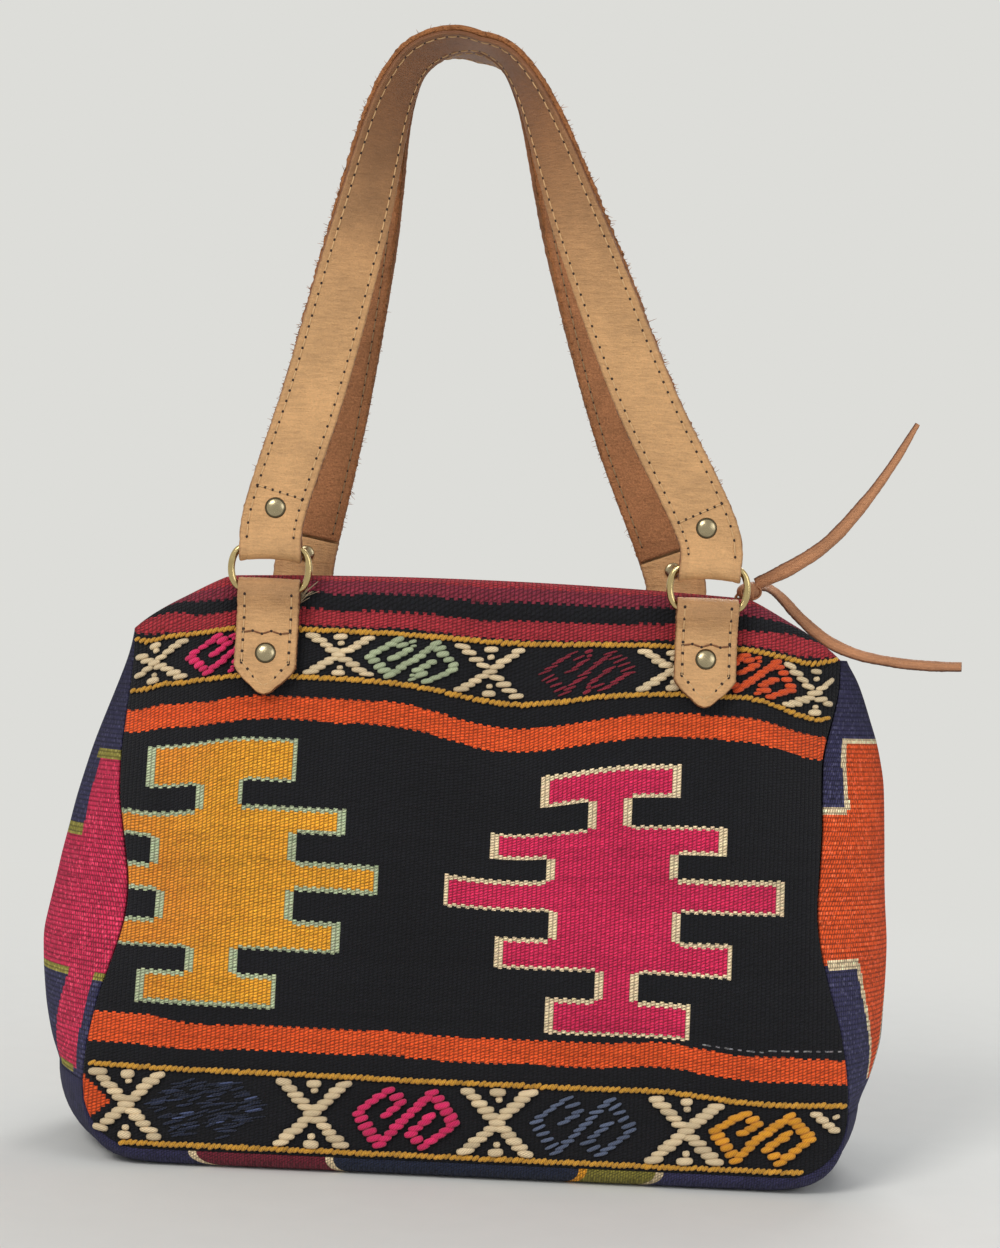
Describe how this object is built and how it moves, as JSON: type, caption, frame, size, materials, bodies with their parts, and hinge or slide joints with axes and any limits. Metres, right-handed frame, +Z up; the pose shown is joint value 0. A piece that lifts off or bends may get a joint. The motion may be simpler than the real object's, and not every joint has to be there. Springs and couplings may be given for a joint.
{
  "type": "tapestry handbag",
  "caption": "Wedge-shaped handbag of flat-woven striped cloth with stepped medallions, leather handles on brass rings and a zip along the ridge with a leather thong pull",
  "frame": {"origin": "middle of the flat base that the bag stands on", "axes": "+X to the right and -Y towards the viewer when looking at the front panel, +Z up"},
  "size_m": [0.4026, 0.1132, 0.495],
  "materials": {
    "tapestry_cloth": "flat-woven wool with brocade bands",
    "gusset_cloth": "flat-woven wool",
    "base_cloth": "flat-woven wool",
    "zip_tape": "woven tape with a moulded coil",
    "zip_metal": "dull antique plating",
    "thong_leather": "undyed lace leather",
    "strap_leather": "vegetable-tanned grain leather",
    "strap_lining_leather": "vegetable-tanned leather, flesh side",
    "ring_brass": "antique brass wire",
    "rivet_brass": "antique brass cap"
  },
  "bodies": {
    "bag": {"front_panel": "tapestry_cloth", "back_panel": "tapestry_cloth", "left_gusset": "gusset_cloth", "right_gusset": "gusset_cloth", "base_panel": "base_cloth", "zip_tape_front": "zip_tape", "zip_tape_back": "zip_tape", "zip_stop_left": "zip_metal", "zip_stop_right": "zip_metal", "front_left_tab": "strap_leather", "front_left_tab_rivet": "rivet_brass", "front_right_tab": "strap_leather", "front_right_tab_rivet": "rivet_brass", "back_left_tab": "strap_leather", "back_left_tab_rivet": "rivet_brass", "back_right_tab": "strap_leather", "back_right_tab_rivet": "rivet_brass"},
    "front_rings": {"front_left_ring": "ring_brass", "front_right_ring": "ring_brass"},
    "front_handle": {"front_strap_outer": "strap_leather", "front_strap_inner": "strap_lining_leather", "front_left_strap_rivet": "rivet_brass", "front_right_strap_rivet": "rivet_brass"},
    "back_rings": {"back_left_ring": "ring_brass", "back_right_ring": "ring_brass"},
    "back_handle": {"back_strap_outer": "strap_leather", "back_strap_inner": "strap_lining_leather", "back_left_strap_rivet": "rivet_brass", "back_right_strap_rivet": "rivet_brass"},
    "slider": {"zip_slider": "zip_metal", "thong_knot": "thong_leather", "thong_upper_tail": "thong_leather", "thong_lower_tail": "thong_leather"}
  },
  "joints": [
    {"name": "front_ring_swing", "type": "hinge", "parent": "bag", "child": "front_rings", "pos_m": [0, -0.02183, 0.24862], "axis": [1, 0, 0], "range_deg": [0, 70]},
    {"name": "front_handle_swing", "type": "hinge", "parent": "front_rings", "child": "front_handle", "pos_m": [0, -0.02183, 0.26622], "axis": [1, 0, 0], "range_deg": [0, 90]},
    {"name": "back_ring_swing", "type": "hinge", "parent": "bag", "child": "back_rings", "pos_m": [0, 0.02577, 0.22858], "axis": [-1, 0, 0], "range_deg": [0, 70]},
    {"name": "back_handle_swing", "type": "hinge", "parent": "back_rings", "child": "back_handle", "pos_m": [0, 0.02577, 0.24618], "axis": [-1, 0, 0], "range_deg": [0, 90]},
    {"name": "zip_slide", "type": "slide", "parent": "bag", "child": "slider", "axis": [1, 0, 0], "range_m": [-0.226, 0], "deforming": ["thong_lower_tail"]}
  ]
}
